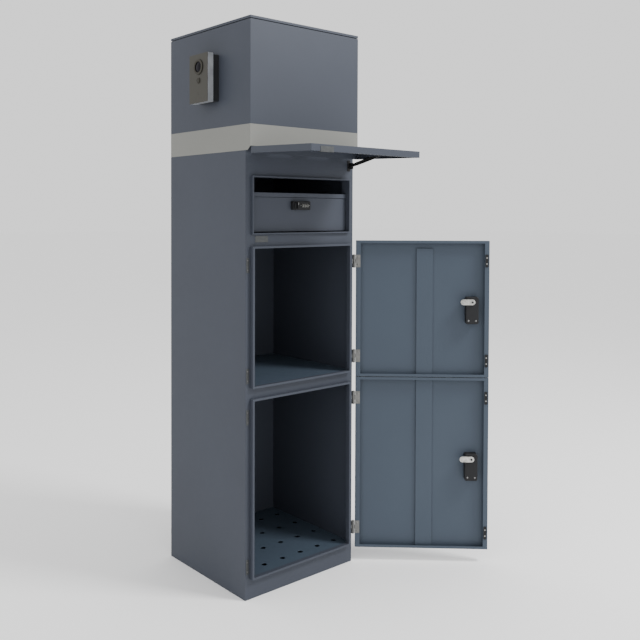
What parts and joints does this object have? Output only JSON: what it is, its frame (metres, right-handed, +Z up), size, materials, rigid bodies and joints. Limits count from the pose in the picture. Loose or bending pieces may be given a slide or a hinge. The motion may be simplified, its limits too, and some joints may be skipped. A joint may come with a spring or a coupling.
{
  "type": "parcel drop box",
  "caption": "Tall sheet steel parcel drop box with two hinged parcel lockers, a letter slot behind a lift-up flap and an intercom housing on top.",
  "frame": {"origin": "on the floor at the middle of the footprint, which is the middle of the anchor hole pattern", "axes": "+Z up along the height, the doors and the flap face -Y, +X to the right seen from the front"},
  "size_m": [0.7591, 0.6547, 1.58],
  "materials": {
    "body_paint": "satin",
    "door_paint": "satin",
    "band": "satin",
    "zinc": "satin",
    "steel_cam": "satin",
    "black_plastic": "matte",
    "black_steel": "satin",
    "champagne": "brushed",
    "dark_body": "matte",
    "chrome_ring": "polished",
    "lens": "gloss",
    "wheel": "matte",
    "bare_steel": "satin"
  },
  "bodies": {
    "cabinet": {"back_panel": "body_paint", "base_plate": "body_paint", "camera_bezel": "chrome_ring", "camera_lens": "lens", "door_hinge_fixed_leaves": "zinc", "door_hinge_pins": "zinc", "flap_hinge_fixed_leaves": "zinc", "flap_hinge_pins": "bare_steel", "flap_hinge_rail": "body_paint", "floor_pan": "body_paint", "front_frame": "body_paint", "intercom_body": "dark_body", "intercom_faceplate": "champagne", "left_side_panel": "body_paint", "letter_crossbar": "body_paint", "letter_door_pins": "bare_steel", "letter_floor": "body_paint", "letter_opening_rim": "body_paint", "lower_opening_rim": "body_paint", "middle_shelf": "body_paint", "right_side_panel": "body_paint", "roof_panel": "body_paint", "stay_bracket": "black_steel", "strike_plates": "zinc", "top_deck": "body_paint", "top_housing": "body_paint", "trim_band": "band", "upper_opening_rim": "body_paint"},
    "lower_door": {"lower_door_panel": "door_paint", "lower_door_stiffener": "door_paint", "lower_door_hinge_leaves": "zinc", "lower_door_catches": "black_plastic", "lower_lock_case": "black_plastic", "lower_lock_escutcheon": "black_plastic"},
    "lower_lock_turn": {"lower_lock_knob": "black_plastic", "lower_lock_cam": "steel_cam"},
    "lower_dial": {"lower_lock_dial": "zinc"},
    "upper_door": {"upper_door_panel": "door_paint", "upper_door_stiffener": "door_paint", "upper_door_hinge_leaves": "zinc", "upper_door_catches": "black_plastic", "upper_lock_case": "black_plastic", "upper_lock_escutcheon": "black_plastic"},
    "upper_lock_turn": {"upper_lock_knob": "black_plastic", "upper_lock_cam": "steel_cam"},
    "upper_dial": {"upper_lock_dial": "zinc"},
    "flap": {"flap_panel": "body_paint", "flap_hinge_leaves": "zinc", "flap_catch": "zinc", "stay_rail": "body_paint"},
    "stay_arm": {"stay_arm": "black_steel"},
    "stay_slider": {"stay_slider": "bare_steel"},
    "letter_door": {"letter_door_panel": "body_paint", "letter_lock_housing": "black_plastic"},
    "letter_lock_turn": {"letter_lock_knob": "black_plastic", "letter_lock_cam": "steel_cam"},
    "number_wheel_1": {"number_wheel_1": "wheel"},
    "number_wheel_2": {"number_wheel_2": "wheel"},
    "number_wheel_3": {"number_wheel_3": "wheel"},
    "call_button": {"call_button": "dark_body"}
  },
  "joints": [
    {"name": "lower_door_hinge", "type": "hinge", "parent": "cabinet", "child": "lower_door", "pos_m": [0.2055, -0.1813, 0.30025], "axis": [0, 0, 1], "range_deg": [-137.36, 42.64]},
    {"name": "lower_cam_lock", "type": "hinge", "parent": "lower_door", "child": "lower_lock_turn", "pos_m": [0.47821, -0.407, 0.316], "axis": [0.6774, 0.7356, 0], "range_deg": [-180, 0]},
    {"name": "lower_dial_spin", "type": "hinge", "parent": "lower_door", "child": "lower_dial", "pos_m": [0.47821, -0.407, 0.28], "axis": [0.6774, 0.7356, 0], "continuous": true},
    {"name": "upper_door_hinge", "type": "hinge", "parent": "cabinet", "child": "upper_door", "pos_m": [0.2055, -0.1813, 0.76675], "axis": [0, 0, 1], "range_deg": [-137.36, 42.64]},
    {"name": "upper_cam_lock", "type": "hinge", "parent": "upper_door", "child": "upper_lock_turn", "pos_m": [0.47821, -0.407, 0.7885], "axis": [0.6774, 0.7356, 0], "range_deg": [-180, 0]},
    {"name": "upper_dial_spin", "type": "hinge", "parent": "upper_door", "child": "upper_dial", "pos_m": [0.47821, -0.407, 0.7525], "axis": [0.6774, 0.7356, 0], "continuous": true},
    {"name": "flap_hinge", "type": "hinge", "parent": "cabinet", "child": "flap", "pos_m": [0, -0.1982, 1.2293], "axis": [-1, 0, 0], "range_deg": [-88.25, 0]},
    {"name": "stay_arm_pivot", "type": "hinge", "parent": "cabinet", "child": "stay_arm", "pos_m": [0.183, -0.1885, 1.1945], "axis": [-1, 0, 0], "range_deg": [-100.66, 0]},
    {"name": "stay_slide", "type": "slide", "parent": "flap", "child": "stay_slider", "axis": [0, -0.9995, -0.0305], "range_m": [0, 0.04725]},
    {"name": "letter_door_hinge", "type": "hinge", "parent": "cabinet", "child": "letter_door", "pos_m": [0, -0.1675, 1.00521], "axis": [1, 0, 0], "range_deg": [0, 90]},
    {"name": "letter_cam_lock", "type": "hinge", "parent": "letter_door", "child": "letter_lock_turn", "pos_m": [-0.0225, -0.172, 1.075], "axis": [0, 1, 0], "range_deg": [-90, 0]},
    {"name": "number_wheel_1_spin", "type": "hinge", "parent": "letter_door", "child": "number_wheel_1", "pos_m": [0.001, -0.1795, 1.075], "axis": [1, 0, 0], "continuous": true},
    {"name": "number_wheel_2_spin", "type": "hinge", "parent": "letter_door", "child": "number_wheel_2", "pos_m": [0.0095, -0.1795, 1.075], "axis": [1, 0, 0], "continuous": true},
    {"name": "number_wheel_3_spin", "type": "hinge", "parent": "letter_door", "child": "number_wheel_3", "pos_m": [0.018, -0.1795, 1.075], "axis": [1, 0, 0], "continuous": true},
    {"name": "call_button_push", "type": "slide", "parent": "cabinet", "child": "call_button", "axis": [1, 0, 0], "range_m": [0, 0.0015], "stiffness_N_per_m": 400, "springref_m": -0.001}
  ],
  "couplings": [
    {"joint": "stay_arm_pivot", "follows": "flap_hinge", "ratio": 1.1383},
    {"joint": "stay_slide", "follows": "flap_hinge", "m_per_rad": -0.030613}
  ]
}
